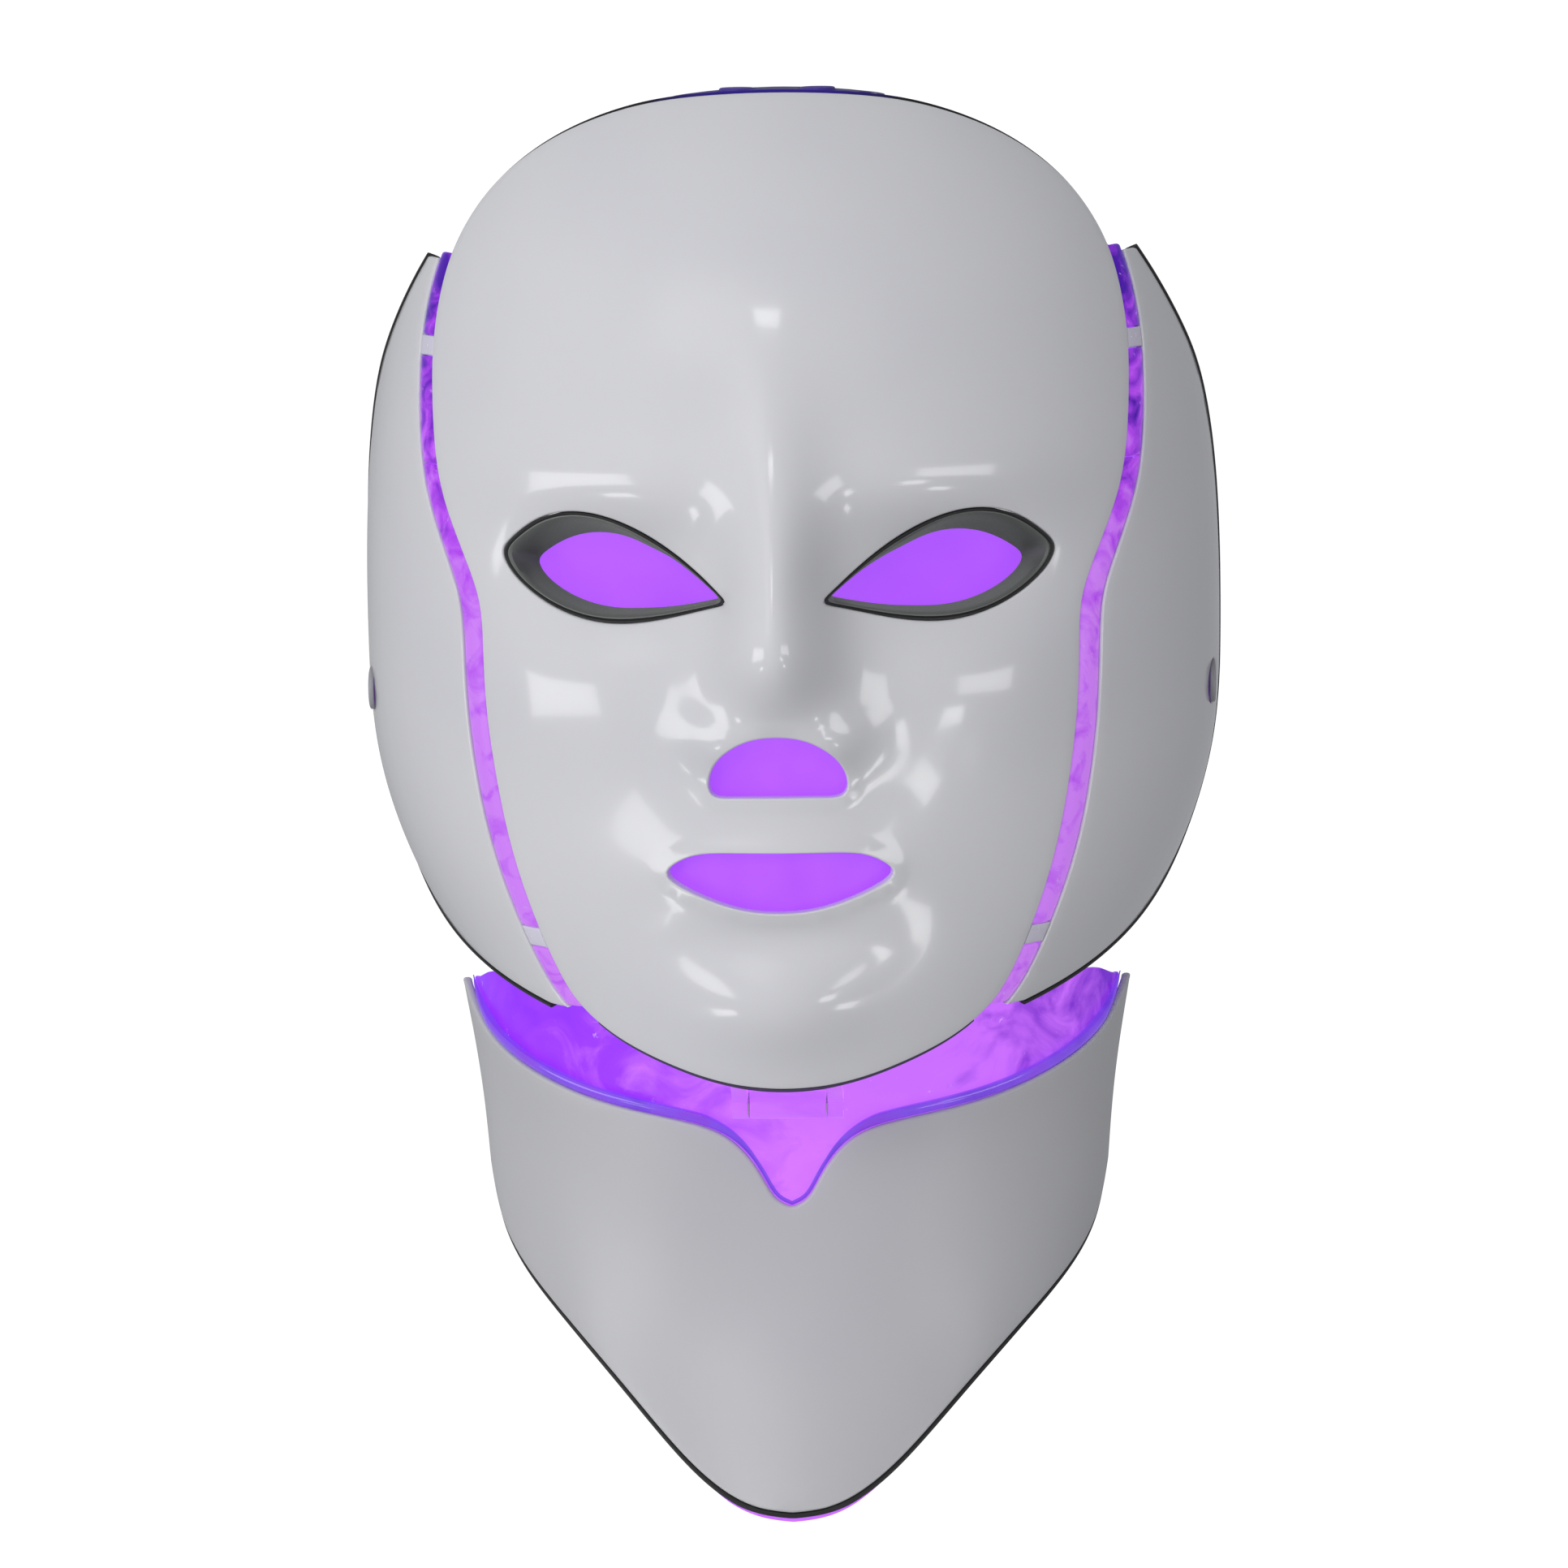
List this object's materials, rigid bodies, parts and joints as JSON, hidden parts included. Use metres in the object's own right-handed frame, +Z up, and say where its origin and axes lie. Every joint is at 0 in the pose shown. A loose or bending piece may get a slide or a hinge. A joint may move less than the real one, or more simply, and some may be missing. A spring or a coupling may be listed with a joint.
{
  "type": "led face mask",
  "caption": "Rigid light-therapy mask: white face and cheek shells split by glowing violet strips, dark eye cups, nose and mouth openings, and a hinged neck piece under the chin.",
  "frame": {"origin": "on the mask's middle plane, at the height of the chin's lower edge and in the plane of the cheek shells' rear edges, where the mask rests round the head", "axes": "+Z up, -Y out of the face, +X toward the wearer's left"},
  "size_m": [0.2004, 0.1151, 0.3237],
  "materials": {
    "white_shell": "pearl white high gloss moulded plastic with faint orange peel",
    "light_guide": "translucent frosted violet light guide, lit from within",
    "edge_seal": "black soft rubber bead, satin",
    "clear_clip": "clear polycarbonate",
    "eye_rubber": "dark grey moulded silicone, satin",
    "eye_tint": "violet tinted translucent lens",
    "led_board": "white solder mask flexible circuit board",
    "led": "glowing light package",
    "clear_cover": "clear soft inner cover, frosted",
    "inner_plastic": "moulded nylon",
    "steel": "plated steel",
    "eyelet": "grey acetal",
    "pad_foam": "dark navy padded fabric",
    "case_plastic": "dark navy moulded plastic, fine texture",
    "battery_wrap": "grey shrink wrap",
    "control_pcb": "green circuit board",
    "switch_body": "black switch body",
    "button": "violet grey rubberised button",
    "hinge_plastic": "translucent lilac moulded hinge",
    "brass": "gold plated contact",
    "ribbon": "polyimide ribbon"
  },
  "bodies": {
    "mask": {"face_shell": "white_shell", "left_cheek_shell": "white_shell", "right_cheek_shell": "white_shell", "face_liner": "light_guide", "left_light_strip": "light_guide", "right_light_strip": "light_guide", "face_shell_seal": "edge_seal", "left_cheek_seal": "edge_seal", "right_cheek_seal": "edge_seal", "left_bridge_clips": "clear_clip", "right_bridge_clips": "clear_clip", "left_eye_cup": "eye_rubber", "right_eye_cup": "eye_rubber", "left_eye_lens": "eye_tint", "right_eye_lens": "eye_tint", "forehead_board": "led_board", "left_cheek_board": "led_board", "right_cheek_board": "led_board", "chin_board": "led_board", "forehead_leds": "led", "left_cheek_leds": "led", "right_cheek_leds": "led", "chin_leds": "led", "board_ribbons": "ribbon", "forehead_cover": "clear_cover", "left_cheek_cover": "clear_cover", "right_cheek_cover": "clear_cover", "cover_posts": "inner_plastic", "cover_screws": "steel", "case_screws": "steel", "hinge_pin": "steel", "charging_socket": "steel", "left_strap_eyelet": "eyelet", "right_strap_eyelet": "eyelet", "forehead_pad": "pad_foam", "control_case": "case_plastic", "control_case_lid": "case_plastic", "case_standoffs": "case_plastic", "battery": "battery_wrap", "control_board": "control_pcb", "button_switches": "switch_body", "hinge_bracket": "hinge_plastic", "contact_washers": "brass"},
    "power_button": {"power_button": "button"},
    "mode_button": {"mode_button": "button"},
    "neck_piece": {"neck_shell": "white_shell", "neck_liner": "light_guide", "neck_seal": "edge_seal", "neck_board": "led_board", "neck_leds": "led", "neck_inner_cover": "clear_cover", "neck_posts": "inner_plastic", "neck_screws": "steel", "neck_hinge_lug": "hinge_plastic"}
  },
  "joints": [
    {"name": "power_press", "type": "slide", "parent": "mask", "child": "power_button", "axis": [0, 0, -1], "range_m": [0, 0.001], "stiffness_N_per_m": 400, "springref_m": -0.001},
    {"name": "mode_press", "type": "slide", "parent": "mask", "child": "mode_button", "axis": [0, 0, -1], "range_m": [0, 0.001], "stiffness_N_per_m": 400, "springref_m": -0.001},
    {"name": "chin_hinge", "type": "hinge", "parent": "mask", "child": "neck_piece", "pos_m": [0, -0.07, -0.008], "axis": [1, 0, 0], "range_deg": [-12, 6]}
  ]
}
